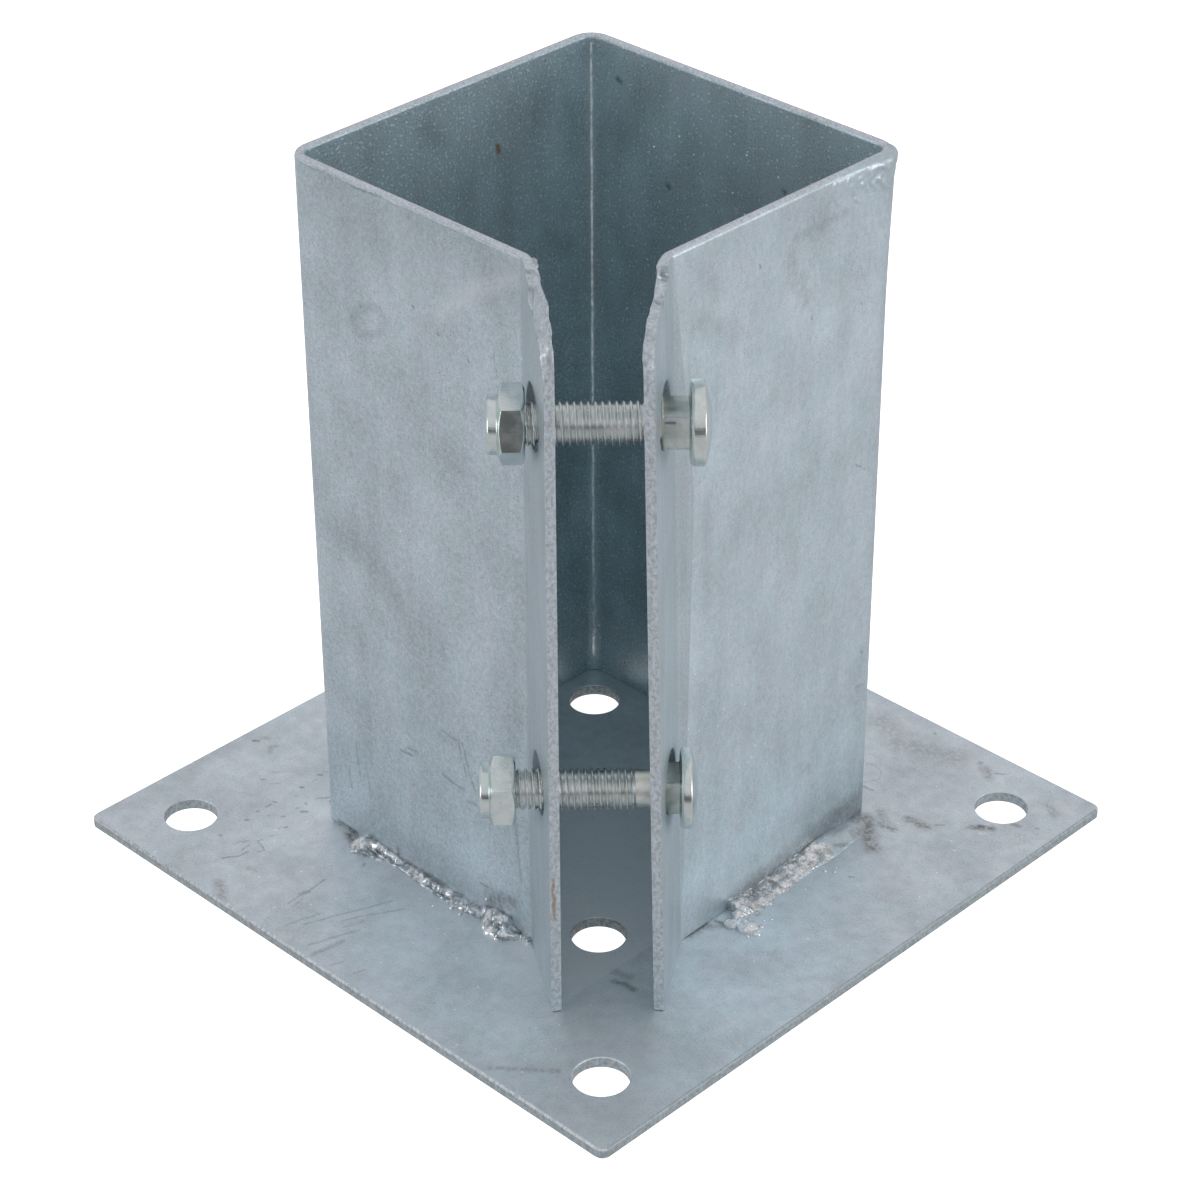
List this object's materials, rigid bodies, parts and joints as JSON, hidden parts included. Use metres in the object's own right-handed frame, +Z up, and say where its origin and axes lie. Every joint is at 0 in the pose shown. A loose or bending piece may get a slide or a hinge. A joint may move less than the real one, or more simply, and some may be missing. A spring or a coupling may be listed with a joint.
{
  "type": "post base",
  "caption": "Bolt-down post base: square base plate with a welded, folded square socket whose open front corner is clamped by carriage bolts.",
  "frame": {"origin": "middle of the base plate's underside, at the bottom of the part's box", "axes": "+Z up along the post; X and Y along the plate's sides; the socket's open corner, with its flanges and bolts, points towards +X, -Y"},
  "size_m": [0.15, 0.15, 0.154],
  "materials": {
    "galvanised_plate": "hot-dip galvanised, dull blue-grey",
    "galvanised_sheet": "hot-dip galvanised, dull blue-grey",
    "galvanised_weld": "lumpy weld under galvanising",
    "zinc_plated_bolt": "bright zinc plating",
    "zinc_plated_nut": "bright zinc plating",
    "nylon": "natural nylon"
  },
  "bodies": {
    "root": {"base_plate": "galvanised_plate", "post_socket": "galvanised_sheet", "weld_bead_front_left": "galvanised_weld", "weld_bead_front_right": "galvanised_weld", "weld_bead_back_left": "galvanised_weld", "weld_bead_back_right": "galvanised_weld", "upper_carriage_bolt": "zinc_plated_bolt", "lower_carriage_bolt": "zinc_plated_bolt", "upper_lock_nut": "zinc_plated_nut", "lower_lock_nut": "zinc_plated_nut", "upper_nut_insert": "nylon", "lower_nut_insert": "nylon"}
  },
  "joints": []
}
